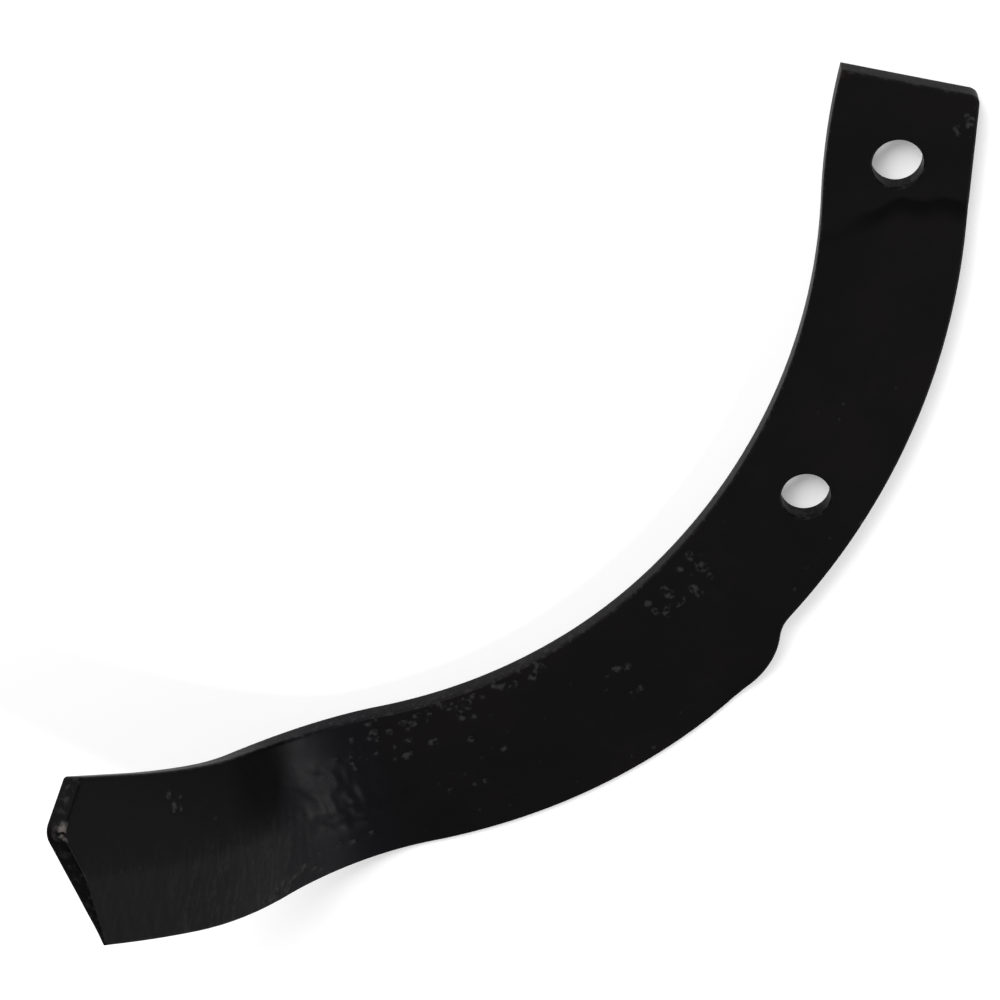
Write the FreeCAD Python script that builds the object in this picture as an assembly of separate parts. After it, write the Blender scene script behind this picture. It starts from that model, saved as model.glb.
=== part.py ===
import FreeCAD, Part
import math
import os

# Forged rotary tiller blade, one piece of flat bar, in millimetres.
# The blade lies on its back face on Z = 0, with its front face up.
# The origin is the centre of the bolt hole nearest the cut end of the shank,
# and the second bolt hole lies straight below it, towards -Y.

# Flat bar that the blade is forged from
bar_width = 30.3
bar_thickness = 5.0

# Two punched bolt holes in the shank
hole_diameter = 10.7
hole_spacing = 80.0

# Cut end of the shank
end_margin = 18.0            # from the end hole's centre to the cut
end_flare = 1.3              # inner edge outside the half width, at the cut
end_lean = 0.7               # degrees between the inner edge at the cut and the line of holes
end_flare_radius = 156.4
end_flare_angle = 11.0
end_corner_radius = 2.2
shank_back_lean = 9.1        # degrees between the shank's straight back and the line of holes

# Bow in the plane of the bar, given on its inner, concave edge
shank_bow_radius = 135.4
shank_bow_angle = 42.0
blade_bow_radius = 114.6
blade_bow_angle = 60.7
runout_radius = 323.0
runout_angle = 4.4
tip_straight = 17.8          # straight run of the inner edge, up to the tip's corner

# Drawn-out blade: its width at four even steps from the shoulder to the tip
shoulder_width = 36.7
belly_width = 38.0
bend_width = 36.5
tip_width = 36.3
shoulder_step = 5.0          # along the inner edge, from the end of the shank's bow
shoulder_radius = 24.0
notch_radius = 9.0

# Knife bevel on the front face, along the outer edge
edge_thickness = 1.0
bevel_width_root = 20.0
bevel_width_tip = 15.0
bevel_lead = 13.0            # from where the bevel starts to the shoulder
bevel_fade = 16.0            # from where the bevel starts to its full depth

# Tip bent up towards the front face
bend_inside_radius = 31.5
bend_angle = 62.5
bend_setback = 94.0          # along the inner edge, from the tip's corner to the bend
bend_skew = 35.1             # degrees between the tip's inner edge and the bend's direction

# Pointed end of the tip: two cuts that meet at an obtuse point
point_cut_length = 13.3
point_cut_angle = 60.9
point_angle = 68.4
point_radius = 3.5
tip_corner_radius = 1.2

CUTTER_MARGIN = 4.0
BEVEL_SECTIONS = 22
RAIL_POINTS = 9
EDGE_POINTS = 15


def unit(heading):
    """Direction in the plane of the bar, from a heading in degrees."""
    angle = math.radians(heading)
    return FreeCAD.Vector(math.cos(angle), math.sin(angle), 0)


def arc_end(start, heading, radius, turn):
    """End of an arc that leaves start along heading; a positive turn goes left."""
    side = 1 if turn > 0 else -1
    centre = start + unit(heading + 90 * side) * radius
    return centre + unit(heading + turn - 90 * side) * radius


class Span:
    """One arc, or one straight run where turn is 0, of the inner edge."""

    def __init__(self, start, heading, radius, turn, length=None):
        self.start = start
        self.heading = heading
        self.radius = radius
        self.turn = turn
        self.length = length or radius * math.radians(abs(turn))

    def heading_at(self, distance):
        return self.heading + self.turn * distance / self.length

    def point_at(self, distance):
        if self.turn == 0:
            return self.start + unit(self.heading) * distance
        return arc_end(self.start, self.heading, self.radius, self.turn * distance / self.length)

    def edge(self, first, last):
        """The span's edge between two distances along it."""
        if self.turn == 0:
            return Part.makeLine(self.point_at(first), self.point_at(last))
        middle = self.point_at((first + last) / 2)
        return Part.Arc(self.point_at(first), middle, self.point_at(last)).toShape()


def inner_spans():
    """The concave edge from the cut end of the shank to the corner of the tip."""
    start = FreeCAD.Vector(-bar_width / 2 - end_flare, end_margin, 0)
    heading = -90 + end_lean
    spans = []
    for radius, turn in (
        (end_flare_radius, end_flare_angle),
        (shank_bow_radius, -shank_bow_angle),
        (blade_bow_radius, -blade_bow_angle),
        (runout_radius, -runout_angle),
    ):
        span = Span(start, heading, radius, turn)
        spans.append(span)
        start = span.point_at(span.length)
        heading += turn
    spans.append(Span(start, heading, None, 0, tip_straight))
    return spans


INNER = inner_spans()
INNER_LENGTH = sum(span.length for span in INNER)
SHANK_END = INNER[0].length + INNER[1].length
BLADE_START = SHANK_END + shoulder_step


def locate(station):
    """The span that holds a station, and the distance along it."""
    for span in INNER[:-1]:
        if station <= span.length:
            return span, station
        station -= span.length
    return INNER[-1], station


def inner_point(station):
    span, distance = locate(station)
    return span.point_at(distance)


def outward(station):
    """Direction across the bar, from the inner edge to the outer one."""
    span, distance = locate(station)
    return unit(span.heading_at(distance) + 90)


def inner_edges(first, last):
    """Edges of the inner edge between two stations."""
    edges = []
    begin = 0.0
    for span in INNER:
        low = max(first, begin) - begin
        high = min(last, begin + span.length) - begin
        if high - low > 1e-6:
            edges.append(span.edge(low, high))
        begin += span.length
    return edges


def blade_width(station):
    """Width at a station: the cubic through the four widths of the blade."""
    widths = (shoulder_width, belly_width, bend_width, tip_width)
    place = 3 * (station - BLADE_START) / (INNER_LENGTH - BLADE_START)
    total = 0.0
    for i, width in enumerate(widths):
        share = width
        for j in range(4):
            if j != i:
                share *= (place - j) / (i - j)
        total += share
    return total


def edge_point(station):
    """Point of the cutting edge that faces a station of the inner edge."""
    return inner_point(station) + outward(station) * blade_width(station)


def edge_curve(first, last):
    """The cutting edge between two stations, as one smooth curve."""
    step = (last - first) / (EDGE_POINTS - 1)
    curve = Part.BSplineCurve()
    curve.interpolate([edge_point(first + i * step) for i in range(EDGE_POINTS)])
    return curve.toShape()


def solve(function, low, high):
    """Where a rising function crosses zero, by halving the interval."""
    for _ in range(60):
        middle = (low + high) / 2
        if function(middle) < 0:
            low = middle
        else:
            high = middle
    return (low + high) / 2


# The bend turns about a line across the bar; u runs along its direction
TIP_HEADING = INNER[-1].heading
BEND_DIRECTION = unit(TIP_HEADING + bend_skew)
BEND_MID_RADIUS = bend_inside_radius + bar_thickness / 2
BEND_LENGTH = BEND_MID_RADIUS * math.radians(bend_angle)
BEND_START = inner_point(INNER_LENGTH - bend_setback).dot(BEND_DIRECTION)
BEND_END = BEND_START + BEND_LENGTH


def bent(point, height):
    """Place a point of the flat blank, at a height above its back, on the bent blade."""
    u = point.dot(BEND_DIRECTION)
    rise = height - bar_thickness / 2
    if u <= BEND_START:
        return FreeCAD.Vector(point.x, point.y, height)
    angle = min(u - BEND_START, BEND_LENGTH) / BEND_MID_RADIUS
    straight = max(u - BEND_END, 0)
    arm = BEND_MID_RADIUS - rise
    along = BEND_START + arm * math.sin(angle) + straight * math.cos(angle)
    z = bar_thickness / 2 + BEND_MID_RADIUS - arm * math.cos(angle) + straight * math.sin(angle)
    flat = point + BEND_DIRECTION * (along - u)
    return FreeCAD.Vector(flat.x, flat.y, z)


def inner_station(u):
    return solve(lambda s: inner_point(s).dot(BEND_DIRECTION) - u, SHANK_END, INNER_LENGTH)


def edge_station(u):
    return solve(lambda s: edge_point(s).dot(BEND_DIRECTION) - u, BLADE_START, INNER_LENGTH)


def plate(edges):
    """Closed outline of the blank, thickened from its back to its front face."""
    wire = Part.Wire(Part.__sortEdges__(edges))
    return Part.Face(wire).extrude(FreeCAD.Vector(0, 0, bar_thickness))


def round_upright(solid, corners):
    """Round the upright edges that stand on the given corners."""
    for corner, radius in corners:
        uprights = [
            e for e in solid.Edges
            if all(math.hypot(v.X - corner.x, v.Y - corner.y) < 1e-3 for v in e.Vertexes)
        ]
        solid = solid.makeFillet(radius, uprights)
    return solid


def circle_crossing(centre_a, radius_a, centre_b, radius_b):
    """The crossing of two circles that lies to the right of the way from a to b."""
    way = centre_b - centre_a
    gap = way.Length
    along = (gap ** 2 + radius_a ** 2 - radius_b ** 2) / (2 * gap)
    across = math.sqrt(radius_a ** 2 - along ** 2)
    way.normalize()
    return centre_a + way * along + FreeCAD.Vector(way.y, -way.x, 0) * across


def shank_back():
    """Outer edge of the shank and the rounded shoulder where the blade begins."""
    bow = INNER[1]
    centre = bow.start + unit(bow.heading - 90) * shank_bow_radius
    radius = shank_bow_radius + bar_width
    tangent = centre + unit(shank_back_lean) * radius
    along = unit(-90 + shank_back_lean)
    corner = tangent + along * ((end_margin - tangent.y) / along.y)

    blade_top = edge_point(BLADE_START)
    shoulder_centre = blade_top - outward(BLADE_START) * shoulder_radius
    notch = circle_crossing(shoulder_centre, shoulder_radius, centre, radius)

    def on_arc(middle_of, arc_centre, arc_radius):
        direction = middle_of - arc_centre
        direction.normalize()
        return arc_centre + direction * arc_radius

    back_middle = on_arc((tangent + notch) * 0.5, centre, radius)
    shoulder_middle = on_arc((notch + blade_top) * 0.5, shoulder_centre, shoulder_radius)
    edges = [
        Part.makeLine(corner, tangent),
        Part.Arc(tangent, back_middle, notch).toShape(),
        Part.Arc(notch, shoulder_middle, blade_top).toShape(),
    ]
    return corner, notch, edges


def flat_part():
    """Shank and blade up to the start of the bend."""
    inner_last = inner_station(BEND_START)
    edge_last = edge_station(BEND_START)
    corner, notch, back = shank_back()
    edges = [Part.makeLine(corner, inner_point(0))]
    edges += inner_edges(0, inner_last)
    edges.append(Part.makeLine(inner_point(inner_last), edge_point(edge_last)))
    edges.append(edge_curve(BLADE_START, edge_last))
    edges += back
    return round_upright(plate(edges), [(corner, end_corner_radius), (notch, notch_radius)])


def rail(stations, point_at, height):
    """Curve on the bent bar through points of the blank, at one height."""
    curve = Part.BSplineCurve()
    curve.interpolate([bent(point_at(s), height) for s in stations])
    return curve.toShape()


def bend_part():
    """The bent strip: four rails joined by ruled faces, closed at both ends."""
    steps = [BEND_START + BEND_LENGTH * i / (RAIL_POINTS - 1) for i in range(RAIL_POINTS)]
    inner = [inner_station(u) for u in steps]
    outer = [edge_station(u) for u in steps]
    rails = [
        rail(inner, inner_point, 0),
        rail(inner, inner_point, bar_thickness),
        rail(outer, edge_point, bar_thickness),
        rail(outer, edge_point, 0),
    ]
    faces = [Part.makeRuledSurface(rails[i], rails[(i + 1) % 4]) for i in range(4)]
    for place in (0, 1):
        corners = [r.valueAt(r.ParameterRange[place]) for r in rails]
        faces.append(Part.Face(Part.makePolygon(corners + corners[:1])))
    shell = Part.Shell(faces)
    shell.sewShape()
    solid = Part.Solid(shell)
    if solid.Volume < 0:
        solid.reverse()
    return solid


def tip_part():
    """Pointed tip past the bend, made flat and then turned up with the bend."""
    inner_first = inner_station(BEND_END)
    edge_first = edge_station(BEND_END)
    corner = inner_point(INNER_LENGTH)
    point = corner + unit(TIP_HEADING + point_cut_angle) * point_cut_length
    cut = unit(TIP_HEADING + point_cut_angle + point_angle)
    across = FreeCAD.Vector(-cut.y, cut.x, 0)
    edge_last = solve(lambda s: (point - edge_point(s)).dot(across), edge_first, INNER_LENGTH)
    low_corner = edge_point(edge_last)
    edges = inner_edges(inner_first, INNER_LENGTH)
    edges += [
        Part.makeLine(corner, point),
        Part.makeLine(point, low_corner),
        edge_curve(edge_first, edge_last),
        Part.makeLine(edge_point(edge_first), inner_point(inner_first)),
    ]
    tip = round_upright(plate(edges), [(corner, tip_corner_radius), (point, point_radius)])
    tip.translate(BEND_DIRECTION * -BEND_LENGTH)
    pivot = BEND_DIRECTION * BEND_START
    pivot.z = bar_thickness / 2 + BEND_MID_RADIUS
    tip.rotate(pivot, BEND_DIRECTION.cross(FreeCAD.Vector(0, 0, 1)), bend_angle)
    return tip


def bevel_section(station):
    """Outline of the metal that the bevel takes away at one station."""
    share = min((station - BLADE_START + bevel_lead) / bevel_fade, 1.0)
    depth = bar_thickness - edge_thickness
    drop = max(share, 0) * depth
    floor = bar_thickness + max(-share, 0) * depth
    place = (station - BLADE_START) / (INNER_LENGTH - BLADE_START)
    width = bevel_width_root + (bevel_width_tip - bevel_width_root) * place
    slope = drop / width
    top = bar_thickness + 2 * CUTTER_MARGIN
    inside = width + CUTTER_MARGIN
    profile = [
        (inside, floor + slope * CUTTER_MARGIN),
        (-CUTTER_MARGIN, floor - drop - slope * CUTTER_MARGIN),
        (-CUTTER_MARGIN, top),
        (inside, top),
    ]
    edge = edge_point(station)
    inward = outward(station) * -1
    corners = [bent(edge + inward * across, height) for across, height in profile]
    return Part.makePolygon(corners + corners[:1])


def bevel_cutter():
    first = BLADE_START - bevel_lead - bevel_fade / 2
    last = INNER_LENGTH + CUTTER_MARGIN
    step = (last - first) / (BEVEL_SECTIONS - 1)
    sections = [bevel_section(first + i * step) for i in range(BEVEL_SECTIONS)]
    return Part.makeLoft(sections, True, False)


def bolt_hole(y):
    depth = bar_thickness + 2 * CUTTER_MARGIN
    return Part.makeCylinder(hole_diameter / 2, depth, FreeCAD.Vector(0, y, -CUTTER_MARGIN))


def tiller_blade():
    """The bent bar, less its two bolt holes and the metal forged off the knife edge."""
    blank = flat_part().fuse([bend_part(), tip_part()]).Solids[0]
    return blank.cut([bolt_hole(0), bolt_hole(-hole_spacing), bevel_cutter()]).Solids[0]


os.makedirs("parts", exist_ok=True)
tiller_blade().exportStep("parts/tiller_blade.step")
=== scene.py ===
import math

import bpy
import numpy as np
from mathutils import Matrix, Vector

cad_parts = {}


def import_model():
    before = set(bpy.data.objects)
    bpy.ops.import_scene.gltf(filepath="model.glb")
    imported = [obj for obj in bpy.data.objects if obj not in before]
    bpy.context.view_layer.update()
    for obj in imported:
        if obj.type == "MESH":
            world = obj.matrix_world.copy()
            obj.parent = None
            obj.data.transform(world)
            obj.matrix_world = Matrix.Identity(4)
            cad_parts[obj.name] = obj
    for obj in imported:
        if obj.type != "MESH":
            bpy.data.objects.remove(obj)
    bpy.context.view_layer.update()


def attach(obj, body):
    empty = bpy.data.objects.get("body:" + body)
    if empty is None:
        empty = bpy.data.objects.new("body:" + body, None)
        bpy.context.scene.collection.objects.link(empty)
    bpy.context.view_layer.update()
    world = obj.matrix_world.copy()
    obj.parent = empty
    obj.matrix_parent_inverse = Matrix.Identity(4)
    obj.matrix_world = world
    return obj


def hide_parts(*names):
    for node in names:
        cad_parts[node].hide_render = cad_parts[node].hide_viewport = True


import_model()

# The blade's sizes, in millimetres and degrees, in the frame of the part:
# the back face on Z = 0, and the bolt hole nearest the cut end at the origin.
MM = 0.001
BAR_WIDTH = 30.3
THICKNESS = 5.0
HOLE_RADIUS = 5.35
HOLES = ((0.0, 0.0), (0.0, -80.0))

END_MARGIN = 18.0
END_FLARE = 1.3
END_LEAN = 0.7
END_CORNER_RADIUS = 2.2
BACK_LEAN = 9.1
BOW_RADIUS = 135.4
STEP_AT_SHOULDER = 5.0
SHOULDER_RADIUS = 24.0
NOTCH_RADIUS = 9.0

# Inner edge: length and turn to the left of each stretch
ARCS = ((156.4, 11.0), (BOW_RADIUS, -42.0), (114.6, -60.7), (323.0, -4.4))
STRETCHES = [(r * math.radians(abs(a)), math.radians(a)) for r, a in ARCS] + [(17.8, 0.0)]
INNER_LENGTH = sum(length for length, _ in STRETCHES)
TIP_HEADING = -90 + END_LEAN + sum(math.degrees(turn) for _, turn in STRETCHES)
SHANK_END = STRETCHES[0][0] + STRETCHES[1][0]
BLADE_START = SHANK_END + STEP_AT_SHOULDER
BLADE_WIDTHS = (36.7, 38.0, 36.5, 36.3)

EDGE_THICKNESS = 1.0
BEVEL_ROOT = 20.0
BEVEL_TIP = 15.0
BEVEL_LEAD = 13.0
BEVEL_FADE = 16.0

BEND_RADIUS = 31.5 + THICKNESS / 2
BEND_ANGLE = math.radians(62.5)
BEND_SETBACK = 94.0
BEND_SKEW = 35.1

POINT_CUT_LENGTH = 13.3
POINT_CUT_ANGLE = 60.9
POINT_ANGLE = 68.4
POINT_RADIUS = 3.5
TIP_CORNER_RADIUS = 1.2

RIM = 0.6            # rounding of the bar's long corners
HOLE_RIM = 0.45      # rounding of the holes' corners
CELL = 0.62          # grid step over the faces
RIM_STEPS = 6
INSET = 0.03         # keeps the true arc of the back edge inside its facets
PATCH = 9.5          # half the side of the square patch round a hole
FOLD_DEPTH = 0.28    # of the fold across the shank
FULL_PIT = 0.12      # depth at which a pit gets the full painted glint
LEAST_THICKNESS = 0.45
SHADE_SHARE = 0.62    # strength of the painted shade in the fold and on the tip
FAR = 99.0           # stands for the distance of points well away from a corner


# ---------------------------------------------------------------- outline

def unit(degrees):
    """The direction at an angle: its cosine and sine."""
    angle = np.radians(degrees)
    return np.array((np.cos(angle), np.sin(angle)))


def left_of(way):
    """Directions turned a quarter turn to the left: (x, y) becomes (-y, x)."""
    return np.stack((-way[..., 1], way[..., 0]), -1)


def inner_edge(station):
    """Points and headings of the concave edge at an array of stations.

    Each stretch turns evenly: at a distance d along it, with a turn of k per millimetre,
    the point has gone sin(k d) / k ahead and (1 - cos(k d)) / k to the left.
    """
    station = np.asarray(station, float)
    start = np.array((-BAR_WIDTH / 2 - END_FLARE, END_MARGIN))
    heading = math.radians(-90 + END_LEAN)
    points = np.zeros(station.shape + (2,))
    headings = np.zeros(station.shape)
    begin = 0.0
    for number, (length, turn) in enumerate(STRETCHES):
        k = turn / length if turn else 1e-9
        ahead = np.array((math.cos(heading), math.sin(heading)))

        def place(d):
            d = np.asarray(d, float)[..., None]
            return start + ahead * np.sin(k * d) / k + left_of(ahead) * (1 - np.cos(k * d)) / k

        here = station >= begin if number else np.full(station.shape, True)
        along = station - begin
        points[here] = place(along)[here]
        headings[here] = (heading + k * along)[here]
        start = place(length)
        heading += turn
        begin += length
    return points, headings


def outward(heading):
    """The direction to the left of a heading in radians, which points to the outer side."""
    return np.stack((-np.sin(heading), np.cos(heading)), -1)


def blade_width(station):
    """Width at a station: the cubic through four widths at even steps along the blade."""
    place = 3 * (np.asarray(station, float) - BLADE_START) / (INNER_LENGTH - BLADE_START)
    total = 0.0
    for i, width in enumerate(BLADE_WIDTHS):
        others = [j for j in range(4) if j != i]
        total = total + width * np.prod([(place - j) / (i - j) for j in others], axis=0)
    return total


def knife_edge(station):
    """The outer edge: the inner edge moved outward by the width."""
    points, headings = inner_edge(station)
    return points + outward(headings) * blade_width(station)[..., None]


def line(start, end, step=0.1):
    """Even points on the straight run from start to end."""
    share = np.linspace(0, 1, max(int(np.hypot(*(end - start)) / step), 2))[:, None]
    return start + (end - start) * share


def arc(centre, start, end, step=0.1):
    """Points on the shorter arc round a centre, from start to end."""
    a, b = start - centre, end - centre
    radius = np.hypot(*a)
    first = math.atan2(a[1], a[0])
    turn = math.atan2(a[0] * b[1] - a[1] * b[0], a @ b)
    angle = first + np.linspace(0, turn, max(int(abs(turn) * radius / step), 6))
    return centre + radius * np.stack((np.cos(angle), np.sin(angle)), -1)


def rounded(first, second, radius):
    """Two lines joined by an arc: its centre is where both, moved sideways by the radius, meet."""
    ways = [np.gradient(path, axis=0) for path in (first, second)]
    ways = [way / np.hypot(way[:, 0], way[:, 1])[:, None] for way in ways]
    a, b = ways[0][-1], ways[1][0]
    side = math.copysign(radius, a[0] * b[1] - a[1] * b[0])
    moved = [path + side * left_of(way) for path, way in zip((first, second), ways)]
    gap = np.hypot(*np.moveaxis(moved[0][:, None] - moved[1][None], -1, 0))
    i, j = np.unravel_index(gap.argmin(), gap.shape)
    centre = (moved[0][i] + moved[1][j]) / 2
    return first[:i + 1], arc(centre, first[i], second[j], 0.05), second[j:]


def lengths(path):
    """Distance run along a path at each of its points."""
    steps = np.hypot(*np.diff(path, axis=0).T)
    return np.concatenate(([0.0], np.cumsum(steps)))


def at_length(path, where):
    """Points of a path at distances along it, on straight runs between its points."""
    run = lengths(path)
    return np.stack([np.interp(where, run, path[:, axis]) for axis in (0, 1)], -1)


def chained(*paths):
    """Paths end to end, with the doubled points left out."""
    path = np.concatenate(paths)
    keep = np.concatenate(([True], np.hypot(*np.diff(path, axis=0).T) > 1e-6))
    return path[keep]


def halves(path):
    """A path cut at its middle point, which both halves keep."""
    middle = len(path) // 2
    return path[:middle + 1], path[middle:]


def blank_sides():
    """The four sides of the flat blank: cut end, outer side, pointed end and inner side."""
    bow_start, bow_heading = inner_edge(np.array(STRETCHES[0][0]))
    centre = bow_start - outward(bow_heading) * BOW_RADIUS
    radius = BOW_RADIUS + BAR_WIDTH - INSET
    tangent = centre + unit(BACK_LEAN) * radius
    along = unit(BACK_LEAN - 90)
    corner = tangent + along * ((END_MARGIN - tangent[1]) / along[1])

    top, heading = knife_edge(np.array(BLADE_START)), inner_edge(np.array(BLADE_START))[1]
    shoulder_centre = top - outward(heading) * SHOULDER_RADIUS
    way = centre - shoulder_centre
    gap = np.hypot(*way)
    ahead = (gap ** 2 + SHOULDER_RADIUS ** 2 - radius ** 2) / (2 * gap)
    across = math.sqrt(SHOULDER_RADIUS ** 2 - ahead ** 2)
    notch = shoulder_centre + way / gap * ahead - left_of(way / gap) * across

    inner = inner_edge(np.linspace(0, INNER_LENGTH, 3000))[0]
    point = inner[-1] + unit(TIP_HEADING + POINT_CUT_ANGLE) * POINT_CUT_LENGTH
    cut = unit(TIP_HEADING + POINT_CUT_ANGLE + POINT_ANGLE)
    stations = np.linspace(BLADE_START, INNER_LENGTH, 2400)
    knife = knife_edge(stations)
    beyond = (knife - point) @ left_of(cut)
    last = np.flatnonzero(np.sign(beyond) != np.sign(beyond[-1]))[-1]
    knife = knife[:last + 1]

    end, corner_arc, back = rounded(
        line(inner[0], corner),
        chained(line(corner, tangent), arc(centre, tangent, notch)),
        END_CORNER_RADIUS,
    )
    back, notch_arc, shoulder = rounded(back, arc(shoulder_centre, notch, top), NOTCH_RADIUS)
    inner, tip_arc, upper = rounded(inner, line(inner[-1], point), TIP_CORNER_RADIUS)
    upper, point_arc, lower = rounded(upper, line(point, knife[-1]), POINT_RADIUS)

    corner_arc, tip_arc = halves(corner_arc), halves(tip_arc)
    return (
        chained(end, corner_arc[0]),
        chained(corner_arc[1], back, notch_arc, shoulder, knife),
        chained(tip_arc[1], upper, point_arc, lower),
        chained(inner, tip_arc[0]),
    )


CUT_SIDE, OUTER_SIDE, POINT_SIDE, INNER_SIDE = blank_sides()
BEND_WAY = unit(TIP_HEADING + BEND_SKEW)
BEND_START = float(inner_edge(np.array(INNER_LENGTH - BEND_SETBACK))[0] @ BEND_WAY)
BEND_LENGTH = BEND_RADIUS * BEND_ANGLE


def bent(points, height):
    """Places points of the flat blank, at heights over its back, on the bent blade.

    Past the start of the bend, the distance u along the bend's direction becomes an arc of
    the mid-plane's radius less the rise, and past its end a straight run at the bend's angle.
    """
    u = points @ BEND_WAY
    rise = height - THICKNESS / 2
    inside = np.clip(u - BEND_START, 0, BEND_LENGTH)
    angle = inside / BEND_RADIUS
    straight = np.maximum(u - BEND_START - BEND_LENGTH, 0)
    arm = BEND_RADIUS - rise
    along = BEND_START + arm * np.sin(angle) + straight * math.cos(BEND_ANGLE)
    lift = THICKNESS / 2 + BEND_RADIUS - arm * np.cos(angle) + straight * math.sin(BEND_ANGLE)
    past = u > BEND_START
    flat = points + BEND_WAY * np.where(past, along - u, 0)[..., None]
    return np.concatenate((flat, np.where(past, lift, height)[..., None]), -1)


# ---------------------------------------------------------------- grid

def spaced(length, step, rim=RIM):
    """Places along a line: close together over the rounding at both ends, then even."""
    near = rim * (1 - np.cos(np.linspace(0, np.pi / 2, RIM_STEPS + 1)))
    middle = np.linspace(rim, length - rim, int((length - 2 * rim) / step) + 2)
    return np.concatenate((near[:-1], middle, length - near[-2::-1]))


def eased(x):
    """Smooth step from 0 to 1: three times the square less twice the cube."""
    x = np.clip(x, 0, 1)
    return x * x * (3 - 2 * x)


def nearest_station(points):
    """Station and distance across of each point, from the nearest sample of the inner edge."""
    samples = np.arange(-20, INNER_LENGTH + 20, 0.5)
    edge, heading = inner_edge(samples)
    flat = points.reshape(-1, 2)
    best = np.concatenate([
        np.argmin(((chunk[:, None] - edge[None]) ** 2).sum(-1), axis=1)
        for chunk in np.array_split(flat, max(len(flat) // 4000, 1))
    ])
    gap = flat - edge[best]
    ahead = np.stack((np.cos(heading), np.sin(heading)), -1)[best]
    station = samples[best] + (gap * ahead).sum(-1)
    across = (gap * outward(heading)[best]).sum(-1)
    return station.reshape(points.shape[:-1]), across.reshape(points.shape[:-1])


def paired_rows():
    """Rows of the grid: a place on the inner side for each place on the outer side.

    The nearest station of each outer point is smoothed along the side, and eased at both
    ends so that the first and last rows join the corners of the blank.
    """
    outer_length, inner_length = lengths(OUTER_SIDE)[-1], lengths(INNER_SIDE)[-1]
    q = np.arange(0, outer_length, 0.25)
    station, _ = nearest_station(at_length(OUTER_SIDE, q))
    window = np.hanning(97)
    padded = np.pad(station, 48, mode="reflect", reflect_type="odd")
    smooth = np.convolve(padded, window / window.sum(), "valid")
    smooth = smooth - smooth[0] * (1 - eased(q / 40))
    smooth = smooth + (inner_length - smooth[-1]) * eased(1 - (outer_length - q) / 70)
    smooth = np.maximum.accumulate(smooth + q * 1e-3)
    smooth *= inner_length / smooth[-1]
    mean = (q + smooth) / 2
    rows = spaced(mean[-1], CELL)
    return np.interp(rows, mean, smooth), np.interp(rows, mean, q), rows, mean[-1]


def blank_grid():
    """Points of the flat blank on a grid of rows along it and columns across it.

    A point is the even mix of its places on the inner and outer side, and near the two ends
    the bulge of the end's outline over its chord is added, fading along the blade.
    """
    inner_at, outer_at, rows, total = paired_rows()
    inner, outer = at_length(INNER_SIDE, inner_at), at_length(OUTER_SIDE, outer_at)
    columns = spaced(34.0, CELL) / 34.0
    grid = inner[:, None] * (1 - columns)[None, :, None] + outer[:, None] * columns[None, :, None]
    for side, near in ((CUT_SIDE, 1 - rows / 12), (POINT_SIDE, 1 - (total - rows) / 34)):
        shape = at_length(side, columns * lengths(side)[-1])
        chord = side[0] + (side[-1] - side[0]) * columns[:, None]
        grid = grid + eased(near)[:, None, None] * (shape - chord)[None]
    return grid


def distance_to(path, points, reach=3.0):
    """Distance of points to a path, measured on segments between samples of it."""
    samples = at_length(path, np.arange(0, lengths(path)[-1], 0.3))
    way = np.gradient(samples, axis=0)
    way /= np.hypot(way[:, 0], way[:, 1])[:, None]
    flat = points.reshape(-1, 2)
    found = []
    for chunk in np.array_split(flat, max(len(flat) // 3000, 1)):
        best = np.argmin(((chunk[:, None] - samples[None]) ** 2).sum(-1), axis=1)
        gap = chunk - samples[best]
        ahead = np.clip((gap * way[best]).sum(-1), -0.2, 0.2)
        found.append(np.hypot(*(gap - way[best] * ahead[:, None]).T))
    return np.concatenate(found).reshape(points.shape[:-1])


def rim_distance(grid):
    """Distance to the outline for the points near it, and a large one elsewhere."""
    rows, columns = grid.shape[:2]
    near = RIM_STEPS + 3
    far = np.full((rows, columns), FAR)
    outline = chained(CUT_SIDE, OUTER_SIDE, POINT_SIDE[::-1], INNER_SIDE[::-1])
    for part in (
        np.s_[:near], np.s_[rows - near - 8:], np.s_[:, :near], np.s_[:, columns - near:],
    ):
        far[part] = distance_to(outline, grid[part])
    far[0] = far[-1] = 0
    far[:, 0] = far[:, -1] = 0
    return far


# ---------------------------------------------------------------- relief

def unevenness(points, cell, seed):
    """Random heights between -1 and 1 on a square lattice, joined by smooth steps."""
    rng = np.random.default_rng(seed)
    lattice = rng.uniform(-1, 1, (256, 256))
    place = points / cell + 100
    low = np.floor(place).astype(int)
    share = eased(place - low)
    a, b = low[..., 0] % 256, low[..., 1] % 256
    c, d = (a + 1) % 256, (b + 1) % 256
    x, y = share[..., 0], share[..., 1]
    first = lattice[a, b] * (1 - x) + lattice[c, b] * x
    second = lattice[a, d] * (1 - x) + lattice[c, d] * x
    return first * (1 - y) + second * y


# Fields of scale pits: stations, widths across, how many, radius and depth of the largest
PIT_FIELDS = (
    ((3, 12), (25, 29.5), 9, 0.9, 0.16),
    ((118, 134), (2, 11), 26, 1.0, 0.16),
    ((144, 156), (11, 20), 8, 0.9, 0.20),
    ((160, 206), (0.5, 4), 60, 0.8, 0.16),
    ((176, 208), (3, 12), 46, 0.9, 0.15),
    ((94, 118), (24, 30), 22, 0.6, 0.10),
    ((136, 200), (30, 37), 40, 0.6, 0.10),
    ((206, 236), (30, 36), 34, 0.8, 0.14),
    ((250, 266), (5, 9), 5, 1.0, 0.18),
    ((176, 192), (16, 25), 10, 0.8, 0.12),
    ((20, 60), (1, 29), 12, 0.7, 0.08),
    ((60, 120), (3, 26), 16, 0.7, 0.09),
    ((150, 290), (3, 33), 70, 0.7, 0.08),
)


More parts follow.
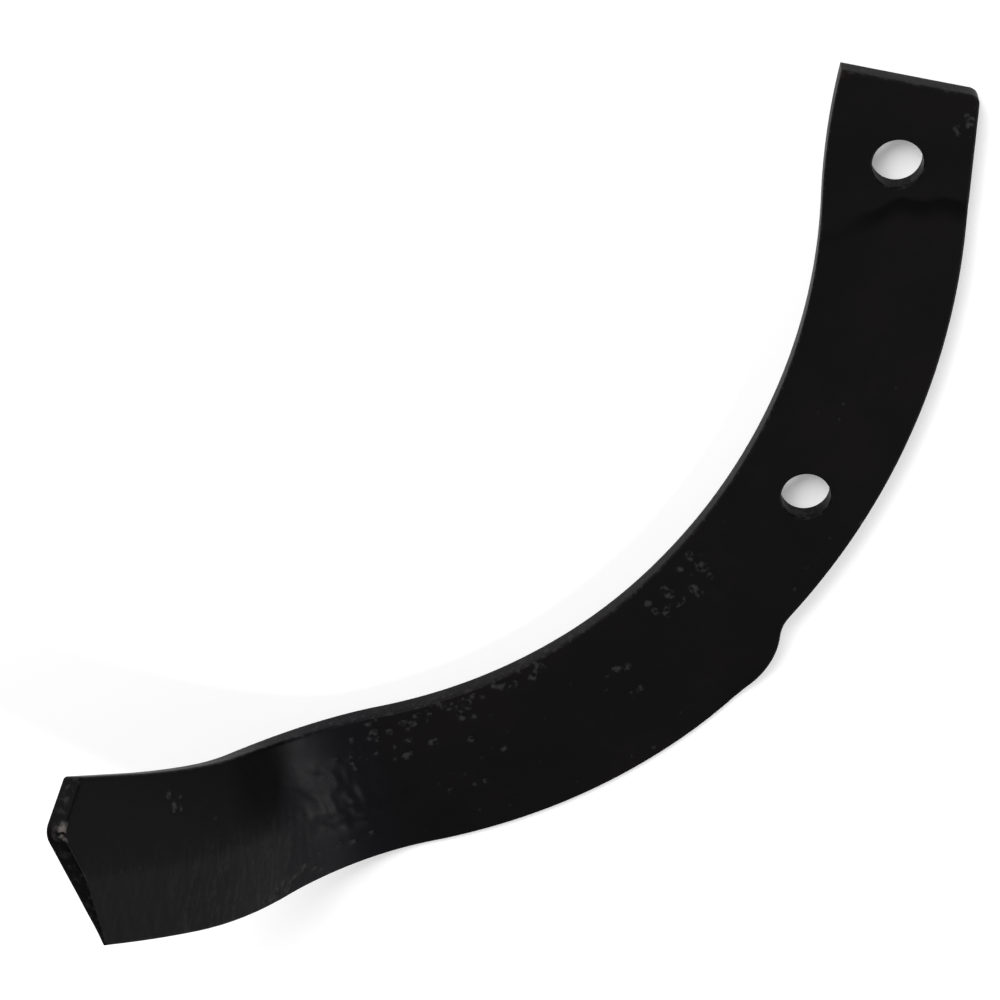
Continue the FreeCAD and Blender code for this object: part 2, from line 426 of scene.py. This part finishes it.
def pit_places():
    """Stations, widths across, radii and depths of the pits, drawn evenly in each field."""
    rng = np.random.default_rng(41)
    pits = []
    for (s0, s1), (w0, w1), count, radius, depth in PIT_FIELDS:
        size = rng.uniform(0.35, 1.0, count)
        where = np.stack((rng.uniform(s0, s1, count), rng.uniform(w0, w1, count)), -1)
        pits.append(np.column_stack((where, radius * size, depth * size)))
    return np.concatenate(pits)


def pitted(station, across):
    """Depth of the pits: each is a bell of its own radius and depth."""
    pits = pit_places()
    flat = np.stack((station.ravel(), across.ravel()), -1)
    depth = np.zeros(len(flat))
    for chunk in np.array_split(pits, 12):
        gap = ((flat[:, None] - chunk[None, :, :2]) ** 2).sum(-1)
        depth += (chunk[:, 3] * np.exp(-gap / chunk[:, 2] ** 2)).sum(-1)
    return depth.reshape(station.shape)


def crease(station, across):
    """Shallow fold across the shank: steep towards the cut end, and running out over 5 mm.

    Its line bows to the blade near the inner edge, where the fold fades.
    """
    line_at = 29.0 + 7.5 * np.clip((17 - across) / 14, 0, 1) ** 1.6
    gap = station - line_at - 0.4 * np.sin(across * 0.7)
    near_outer = 0.25 + 0.75 * eased((across - 4) / 9)
    return eased((gap + 0.6) / 1.2) * (1 - eased((gap - 1.6) / 3.8)) * near_outer


def painted_shade(station, across):
    """Share of painted shade on the front: the largest of those in the fold, the bend and the tip.

    In the hollow of the bend it begins along a slanting line and fades over 24 mm, and it
    is thinner on the outer half.
    """
    # painted shade: darker paint in the hollow of the bend, on the tip and in the fold
    hollow = eased((station - 219 - 0.30 * across) / 6) * (1 - eased((station - 232) / 24))
    hollow *= 1 - 0.75 * eased((across - 12) / 9)
    tip = SHADE_SHARE * eased((station - 228) / 20)
    fold = SHADE_SHARE * crease(station, across)
    return np.clip(np.maximum(fold, np.maximum(hollow, tip)), 0, 1)


def bend_wrinkles(points, across):
    """Folds of the inner face where the bar is bent: short ripples across the bend's run.

    Two uneven patterns are added, one drawn out along the bend's axis and one slanting,
    under a bell along the bend and a smooth window across it.
    """
    u = points @ BEND_WAY - BEND_START
    v = points @ left_of(BEND_WAY)
    middle = np.exp(-((u - 14) / 12) ** 2)
    low = eased((across - 6) / 5) * (1 - eased((across - 24) / 5))
    wave = unevenness(np.stack((u / 1.5, v / 4.2), -1), 1.0, 5)
    cross = unevenness(np.stack((u / 1.3 + v / 2.0, v / 1.7), -1), 1.0, 6)
    return middle * low * (0.17 * (wave + 0.8 * cross) + 0.20)


def knife_streaks(points, station, across):
    """Marks of the drop hammer on the bevel: unevenness drawn out across it, eased in."""
    u = points @ BEND_WAY
    v = points @ left_of(BEND_WAY)
    past = eased((station - 205) / 20)
    low = eased((across - 18) / 4)
    return past * low * (0.05 + 0.05 * unevenness(np.stack((u / 1.3, v / 7.0), -1), 1.0, 9))


def front_height(points, station, across):
    """Height of the front face: the bar's thickness, or the bevel where that is lower.

    The bevel rises evenly from the knife edge, and the two meet in a rounded ridge.
    """
    share = np.clip((station - BLADE_START + BEVEL_LEAD) / BEVEL_FADE, -1, 1)
    drop = np.maximum(share, 0) * (THICKNESS - EDGE_THICKNESS)
    lift = np.maximum(-share, 0) * (THICKNESS - EDGE_THICKNESS)
    place = (station - BLADE_START) / (INNER_LENGTH - BLADE_START)
    width = BEVEL_ROOT + (BEVEL_TIP - BEVEL_ROOT) * place
    depth = blade_width(station) - across
    bevel = THICKNESS + lift - drop + drop * depth / width
    soft = 0.10 + 0.16 * eased(1 - place)
    gap = np.clip((bevel - THICKNESS) / soft, -40, 40)
    soft_here = soft * eased(share * 3 + 1)
    height = THICKNESS - soft_here * np.log1p(np.exp(-gap))
    waves = 0.07 * (1 + unevenness(points, 17.0, 1)) + 0.02 * (1 + unevenness(points, 6.0, 2))
    skin = 0.010 * (1 + unevenness(points, 2.3, 3)) + 0.006 * (1 + unevenness(points, 1.1, 4))
    marks = pitted(station, across) + FOLD_DEPTH * crease(station, across)
    marks = marks + bend_wrinkles(points, across) + knife_streaks(points, station, across)
    return np.maximum(height - waves - skin - marks, LEAST_THICKNESS)


def back_height(points, station, across):
    """Height of the back face: flat, with shallow hollows of scale."""
    waves = 0.05 * (1 + unevenness(points, 21.0, 11)) + 0.015 * (1 + unevenness(points, 5.0, 12))
    skin = 0.010 * (1 + unevenness(points, 2.1, 13))
    pits = np.clip(unevenness(points, 3.1, 14) - 0.72, 0, 1) * 0.3
    thin = eased((blade_width(station) - across) / 4)
    return (waves + skin + pits) * np.where(station > SHANK_END, thin, 1)


def rounding(distance, rim):
    """Fall of a face at a distance from its corner, as on a quarter circle."""
    inside = np.clip(rim - distance, 0, rim)
    return rim - np.sqrt(np.maximum(rim ** 2 - inside ** 2, 0))


def faces_at(points, edge_gap, hole=False):
    """Front and back heights of points of the blank, and the facts that the paint follows."""
    station, across = nearest_station(points)
    front = front_height(points, station, across)
    back = back_height(points, station, across)
    rim = np.minimum(HOLE_RIM if hole else RIM, 0.4 * (front - back))
    fall = rounding(edge_gap, rim)
    # share of full pit depth, which sets where the paint gets painted glints
    scale = np.minimum(pitted(station, across) / FULL_PIT, 1)
    facts = (station, across, np.minimum(edge_gap, 5.0), scale, painted_shade(station, across))
    return front - fall, back + fall, np.stack(facts, -1)


# ---------------------------------------------------------------- mesh

# the fourth fact sets the painted glints in the pits, the fifth the painted shade
FACT_NAMES = ("station", "across", "rim_gap", "scale", "shade_share", "face")
FACTS = len(FACT_NAMES)
SHADE_COLUMN = FACT_NAMES.index("shade_share")


class Pieces:
    """Collects grids of points and their quads for one mesh."""

    def __init__(self):
        self.points, self.facts, self.quads, self.count = [], [], [], 0

    def add(self, points, facts, quads):
        self.points.append(points.reshape(-1, 3))
        self.facts.append(facts.reshape(-1, facts.shape[-1]))
        self.quads.append(quads + self.count)
        self.count += self.points[-1].shape[0]


def grid_quads(rows, columns, keep=None, flip=False):
    """Quads between the neighbouring rows and columns of a grid of points."""
    number = np.arange(rows * columns).reshape(rows, columns)
    quads = np.stack((number[:-1, :-1], number[1:, :-1], number[1:, 1:], number[:-1, 1:]), -1)
    quads = quads[keep] if keep is not None else quads.reshape(-1, 4)
    return quads[:, ::-1] if flip else quads


def hole_patch(grid, centre):
    """Index ranges of the grid cells round a hole, and the loop of points round them."""
    gap = np.abs(grid - centre).max(-1) < PATCH
    rows, columns = np.flatnonzero(gap.any(1)), np.flatnonzero(gap.any(0))
    r0, r1 = rows[0] + 1, rows[-1] - 1
    c0, c1 = max(columns[0], RIM_STEPS + 2), min(columns[-1], grid.shape[1] - RIM_STEPS - 3)
    down, right = np.arange(r0, r1), np.arange(c0, c1)
    loop = np.concatenate((
        np.stack((down, np.full_like(down, c0)), -1),
        np.stack((np.full_like(right, r1), right), -1),
        np.stack((down[::-1] + 1, np.full_like(down, c1)), -1),
        np.stack((np.full_like(right, r0), right[::-1] + 1), -1),
    ))
    return (r0, r1, c0, c1), loop


def ring_points(border, centre):
    """Rings from a hole's wall out to the border: close over the rounding, then even."""
    way = border - centre
    way /= np.hypot(way[:, 0], way[:, 1])[:, None]
    near = HOLE_RIM * (1 - np.cos(np.linspace(0, np.pi / 2, RIM_STEPS + 1)))
    base = centre + way * (HOLE_RADIUS + HOLE_RIM)
    steps = np.linspace(0, 1, 9)[1:, None, None]
    rings = np.concatenate((
        (centre + way * HOLE_RADIUS) + way * near[:, None, None],
        base + (border - base) * steps,
    ))
    gap = np.concatenate((near, np.full(8, FAR)))
    return rings, np.broadcast_to(gap[:, None], rings.shape[:2])


def wall(front, back, levels=4):
    """Loops of points at even shares of the way from the back loop to the front loop."""
    share = np.linspace(0, 1, levels)[:, None]
    return back[None] * (1 - share[:, None]) + front[None] * share[:, None]


def with_face(facts, face):
    """Adds the column that tells the front (1), the back (-1) and the walls (0) apart."""
    return np.concatenate((facts, np.full(facts.shape[:-1] + (1,), float(face))), -1)


def hole_wall_facts(facts, ring, centre, levels):
    """Facts of a hole's wall: painted shade lies thicker on the side of the back edge."""
    shade_share = 0.15 + 0.85 * eased(0.5 + 0.9 * (ring[:, 0] - centre[0]) / HOLE_RADIUS)
    facts = facts.copy()
    facts[:, SHADE_COLUMN] = shade_share
    return np.broadcast_to(with_face(facts, 0), (levels,) + facts.shape[:-1] + (FACTS,))


def forged_blade():
    """The whole blade as one closed skin.

    Front and back are the same grid of the blank at two heights. Round each hole the cells
    give way to rings, and the outline and the holes get walls between the two faces.
    """
    grid = blank_grid()
    rows, columns = grid.shape[:2]
    front, back, facts = faces_at(grid, rim_distance(grid))
    keep = np.full((rows - 1, columns - 1), True)
    blade = Pieces()

    for hole in HOLES:
        centre = np.array(hole)
        (r0, r1, c0, c1), loop = hole_patch(grid, centre)
        keep[r0:r1, c0:c1] = False
        r, c = loop.T
        rings, ring_gap = ring_points(grid[r, c], centre)
        ring_front, ring_back, ring_facts = faces_at(rings, ring_gap, hole=True)
        ring_front[-1], ring_back[-1], ring_facts[-1] = front[r, c], back[r, c], facts[r, c]
        # painted shade on the faces round each hole's rim
        near = np.clip(1 - ring_gap / 0.5, 0, 1)
        ring_facts[..., SHADE_COLUMN] = np.maximum(ring_facts[..., SHADE_COLUMN], 0.7 * near)
        rings, ring_front, ring_back, ring_facts = [
            np.concatenate((a, a[:, :1]), 1) for a in (rings, ring_front, ring_back, ring_facts)]
        top, bottom = bent(rings, ring_front), bent(rings, ring_back)
        quads = grid_quads(*rings.shape[:2])
        blade.add(top, with_face(ring_facts, 1), quads)
        blade.add(bottom, with_face(ring_facts, -1), quads[:, ::-1])
        side = wall(top[0], bottom[0])
        blade.add(side, hole_wall_facts(ring_facts[0], rings[0], centre, len(side)),
                  grid_quads(*side.shape[:2]))

    top, bottom = bent(grid, front), bent(grid, back)
    blade.add(top, with_face(facts, 1), grid_quads(rows, columns, keep))
    blade.add(bottom, with_face(facts, -1), grid_quads(rows, columns, keep, flip=True))

    r = np.concatenate((np.arange(rows), np.full(columns - 2, rows - 1),
                        np.arange(rows)[::-1], np.zeros(columns - 1, int)))
    c = np.concatenate((np.zeros(rows, int), np.arange(1, columns - 1),
                        np.full(rows, columns - 1), np.arange(columns - 1)[::-1]))
    side = wall(top[r, c], bottom[r, c])
    side_facts = np.broadcast_to(with_face(facts[r, c], 0), side.shape[:2] + (FACTS,))
    blade.add(side, side_facts, grid_quads(*side.shape[:2], flip=True))
    return blade


def welded(blade):
    """Points that fall together become one, and quads that lose a corner become triangles."""
    points = np.concatenate(blade.points)
    facts = np.concatenate(blade.facts)
    quads = np.concatenate(blade.quads)
    _, first, name = np.unique(np.round(points, 5), axis=0, return_index=True, return_inverse=True)
    quads = name.reshape(-1)[quads]
    return points[first], facts[first], quads


def make_mesh(name, points, quads):
    """A mesh of the points, with the corners that a quad repeats left out."""
    same = quads == np.roll(quads, -1, axis=1)
    corners = (~same).sum(1)
    quads, same, corners = quads[corners > 2], same[corners > 2], corners[corners > 2]
    mesh = bpy.data.meshes.new(name)
    mesh.vertices.add(len(points))
    mesh.vertices.foreach_set("co", (points * MM).astype(np.float32).ravel())
    loops = quads[~same]
    mesh.loops.add(len(loops))
    mesh.loops.foreach_set("vertex_index", loops.astype(np.int32))
    mesh.polygons.add(len(quads))
    starts = np.concatenate(([0], np.cumsum(corners)[:-1])).astype(np.int32)
    mesh.polygons.foreach_set("loop_start", starts)
    mesh.update(calc_edges=True)
    mesh.validate()
    mesh.shade_smooth()
    return mesh


def add_fact(mesh, name, values):
    """A number for each point of the mesh, which the paint follows."""
    mesh.attributes.new(name, "FLOAT", "POINT").data.foreach_set(
        "value", values.astype(np.float32))


points, facts, quads = welded(forged_blade())
blade_mesh = make_mesh("tiller_blade_forged", points, quads)
for number, name in enumerate(FACT_NAMES):
    add_fact(blade_mesh, name, facts[:, number])
blade = bpy.data.objects.new("tiller_blade_forged", blade_mesh)
bpy.context.scene.collection.objects.link(blade)
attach(blade, "root")
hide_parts("tiller_blade")


# ---------------------------------------------------------------- material

class Nodes:
    """Short calls for building one material's node tree."""

    def __init__(self, name):
        self.material = bpy.data.materials.new(name)
        self.material.use_nodes = True
        self.tree = self.material.node_tree
        self.shader = self.tree.nodes["Principled BSDF"]

    def node(self, kind, **values):
        made = self.tree.nodes.new(kind)
        for key, value in values.items():
            setattr(made, key, value)
        return made

    def join(self, source, target):
        self.tree.links.new(source, target)

    def value(self, target, source):
        if isinstance(source, (int, float)):
            target.default_value = source
        elif isinstance(source, tuple):
            target.default_value = source
        else:
            self.join(source, target)

    def math(self, operation, a, b=0.0, c=0.0, clamp=False):
        made = self.node("ShaderNodeMath", operation=operation, use_clamp=clamp)
        for socket, source in zip(made.inputs, (a, b, c)):
            self.value(socket, source)
        return made.outputs[0]

    def fact(self, name):
        return self.node("ShaderNodeAttribute", attribute_name=name).outputs["Fac"]

    def spot(self, x, y):
        made = self.node("ShaderNodeCombineXYZ")
        self.join(x, made.inputs[0])
        self.join(y, made.inputs[1])
        return made.outputs[0]

    def between(self, source, low, high, out_low=0.0, out_high=1.0):
        made = self.node("ShaderNodeMapRange", interpolation_type="SMOOTHSTEP")
        for socket, item in zip(made.inputs, (source, low, high, out_low, out_high)):
            self.value(socket, item)
        return made.outputs[0]

    def noise(self, scale, detail=3.0, rough=0.55, vector=None):
        made = self.node("ShaderNodeTexNoise")
        made.inputs["Scale"].default_value = scale
        made.inputs["Detail"].default_value = detail
        made.inputs["Roughness"].default_value = rough
        if vector is not None:
            self.join(vector, made.inputs["Vector"])
        return made.outputs["Fac"]

    def mix(self, share, a, b):
        made = self.node("ShaderNodeMix", data_type="RGBA")
        self.value(made.inputs[0], share)
        self.value(made.inputs[6], a)
        self.value(made.inputs[7], b)
        return made.outputs[2]

    def bump(self, height, distance, strength=1.0, normal=None):
        made = self.node("ShaderNodeBump")
        made.inputs["Distance"].default_value = distance
        made.inputs["Strength"].default_value = strength
        self.join(height, made.inputs["Height"])
        if normal is not None:
            self.join(normal, made.inputs["Normal"])
        return made.outputs["Normal"]


PAINT_COOL = (0.0053, 0.0053, 0.0055, 1)
PAINT_WARM = (0.0064, 0.0057, 0.0059, 1)
PAINT_BLUE = (0.0052, 0.0050, 0.0064, 1)
# colour of the painted shade
PAINTED_SHADE_BLACK = (0.0013, 0.0012, 0.0014, 1)
SCALE_GREY = (0.0180, 0.0170, 0.0172, 1)
# colour of the painted glints in the pits
PIT_GLINT_GREY = (0.0230, 0.0230, 0.0240, 1)
RUBBED_POINT = (0.0850, 0.0760, 0.0720, 1)
RUST = (0.0160, 0.0110, 0.0075, 1)


def black_paint():
    """Thin black paint over forge scale.

    Painted shade darkens the fold, the bend's hollow and the tip, pits hold painted glints,
    the bevel has brush marks across it, and the corners and the point are rubbed.
    """
    n = Nodes("blade_paint_black")
    where = n.node("ShaderNodeTexCoord").outputs["Object"]
    station, across, rim_gap, scale, shade_share, face = (n.fact(name) for name in FACT_NAMES)
    on_wall = n.math("SUBTRACT", 1.0, n.math("ABSOLUTE", face), clamp=True)
    front = n.between(face, 0.2, 0.9)

    patches = n.noise(55.0, 4.0, 0.6, where)
    grain = n.noise(1500.0, 3.0, 0.6, where)
    flakes = n.noise(800.0, 2.0, 0.5, where)
    paint = n.mix(n.between(patches, 0.35, 0.65), PAINT_COOL, PAINT_WARM)
    # a bluish tint over the bend
    bluish_bend = n.math("MULTIPLY", n.between(station, 196.0, 208.0), n.between(station, 246.0, 226.0))
    paint = n.mix(n.math("MULTIPLY", bluish_bend, 0.8), paint, PAINT_BLUE)

    drawn = n.spot(n.math("MULTIPLY", station, 0.75), n.math("MULTIPLY", across, 0.10))
    brushed = n.noise(1.0, 3.0, 0.6, drawn)
    on_bevel = n.math("MULTIPLY", n.between(station, 208.0, 228.0), n.between(across, 13.0, 21.0))
    on_bevel = n.math("MULTIPLY", on_bevel, front)
    lines = n.math("MULTIPLY", n.between(brushed, 0.44, 0.66), n.between(flakes, 0.30, 0.62))
    near_bend = n.between(station, 268.0, 244.0, 0.35, 1.0)
    lines = n.math("MULTIPLY", lines, n.math("MULTIPLY", on_bevel, near_bend))

    # painted shade in the fold, the bend's hollow, on the tip and round the holes
    paint = n.mix(shade_share, paint, PAINTED_SHADE_BLACK)
    paint = n.mix(n.math("MULTIPLY", lines, 0.5), paint, SCALE_GREY)

    # painted glints: light flecks on the front where the pits are deep
    pit_glints = n.math("MULTIPLY", n.between(scale, 0.25, 0.8), n.between(flakes, 0.40, 0.62))
    pit_glints = n.math("MULTIPLY", pit_glints, front)
    paint = n.mix(pit_glints, paint, PIT_GLINT_GREY)
    along = n.spot(n.math("MULTIPLY", station, 0.35), n.math("MULTIPLY", rim_gap, 4.0))
    rolled = n.noise(1.0, 3.0, 0.6, along)
    rolled = n.math("MULTIPLY", n.between(n.math("ADD", rolled, flakes), 0.98, 1.25), on_wall)
    paint = n.mix(n.math("MULTIPLY", rolled, 0.7), paint, SCALE_GREY)
    worn = n.math("MULTIPLY", n.between(rim_gap, 0.65, 0.15), n.between(flakes, 0.50, 0.66))
    paint = n.mix(n.math("MULTIPLY", worn, n.math("MULTIPLY", front, 0.6)), paint, SCALE_GREY)

    point = n.math("MULTIPLY", n.between(station, 291.6, 292.6), n.between(across, 8.6, 10.4))
    point = n.math("MULTIPLY", point, n.between(across, 13.6, 12.4))
    point = n.math("MULTIPLY", point, n.between(rim_gap, 1.1, 0.4))
    point = n.math("MULTIPLY", point, n.between(face, -0.2, 0.8))
    point = n.math("MULTIPLY", point, n.between(flakes, 0.36, 0.52))
    paint = n.mix(n.math("MULTIPLY", point, 0.9), paint, RUBBED_POINT)
    corner = n.math("MULTIPLY", n.between(station, 2.4, 0.2), n.between(across, 2.6, 0.4))
    corner = n.math("MULTIPLY", corner, n.between(flakes, 0.38, 0.60))
    paint = n.mix(n.math("MULTIPLY", corner, 0.8), paint, RUST)
    n.join(paint, n.shader.inputs["Base Color"])

    rough = n.between(patches, 0.3, 0.7, 0.37, 0.43)
    rough = n.math("ADD", rough, n.math("MULTIPLY", pit_glints, 0.10))
    n.join(rough, n.shader.inputs["Roughness"])
    n.shader.inputs["Specular IOR Level"].default_value = 0.03
    n.shader.inputs["IOR"].default_value = 1.45

    skin = n.bump(n.noise(330.0, 4.0, 0.6, where), 0.00006, 0.6)
    skin = n.bump(grain, 0.00002, 0.7, skin)
    n.join(skin, n.shader.inputs["Normal"])
    return n.material


blade_mesh.materials.append(black_paint())


# ---------------------------------------------------------------- stage

def floor():
    """A round pale sheet under the blade, white to the camera except where the blade shades it."""
    turn = np.linspace(0, 2 * np.pi, 65)[:-1]
    rim = np.stack((np.cos(turn), np.sin(turn), 0 * turn), -1) * 2.5
    rim += np.array((-0.06, -0.09, -0.0003))
    mesh = bpy.data.meshes.new("floor")
    mesh.from_pydata(rim.tolist(), [], [list(range(64))])
    made = bpy.data.objects.new("floor", mesh)
    bpy.context.scene.collection.objects.link(made)
    n = Nodes("floor_white")
    n.shader.inputs["Base Color"].default_value = (0.86, 0.86, 0.86, 1)
    n.shader.inputs["Roughness"].default_value = 0.9
    n.shader.inputs["Specular IOR Level"].default_value = 0.0
    path = n.node("ShaderNodeLightPath").outputs
    seen = n.math("ADD", path["Is Camera Ray"], path["Is Glossy Ray"])
    seen = n.math("ADD", seen, path["Is Transmission Ray"], clamp=True)
    n.shader.inputs["Emission Color"].default_value = (1, 1, 1, 1)
    n.join(n.math("MULTIPLY", seen, 0.30), n.shader.inputs["Emission Strength"])
    mesh.materials.append(n.material)


def softbox(name, way, distance, size, power):
    """A square lamp at a distance along a direction from the blade's middle, facing it."""
    lamp = bpy.data.lights.new(name, "AREA")
    lamp.shape = "RECTANGLE"
    lamp.size, lamp.size_y = size
    lamp.energy = power
    made = bpy.data.objects.new(name, lamp)
    way = Vector(way).normalized()
    made.location = Vector((-0.065, -0.09, 0.01)) + way * distance
    made.rotation_euler = way.to_track_quat("Z", "Y").to_euler()
    bpy.context.scene.collection.objects.link(made)


def world():
    made = bpy.data.worlds.new("studio")
    made.use_nodes = True
    background = made.node_tree.nodes["Background"]
    background.inputs["Color"].default_value = (1, 1, 1, 1)
    background.inputs["Strength"].default_value = 0.07
    bpy.context.scene.world = made


def camera():
    """A long lens, level with the picture's frame: its three directions and its place."""
    lens = bpy.data.cameras.new("camera")
    lens.lens = 144.0
    lens.sensor_width = 36.0
    made = bpy.data.objects.new("camera", lens)
    right = Vector((0.97957, 0.20106, -0.00408))
    up = Vector((-0.17762, 0.85548, -0.48641))
    back = right.cross(up)
    turn = Matrix((right, up, back)).transposed()
    made.matrix_world = Matrix.Translation(Vector((-0.14596, 0.31798, 0.75970))) @ turn.to_4x4()
    lens.clip_start, lens.clip_end = 0.05, 20
    bpy.context.scene.collection.objects.link(made)
    bpy.context.scene.camera = made


floor()
softbox("key", (-0.60, 0.75, 0.60), 1.3, (1.0, 1.0), 28.0)
softbox("low_side", (0.838, -0.295, 0.429), 1.0, (0.24, 0.24), 8.0)
world()
camera()
scene = bpy.context.scene
scene.view_settings.view_transform = "Standard"
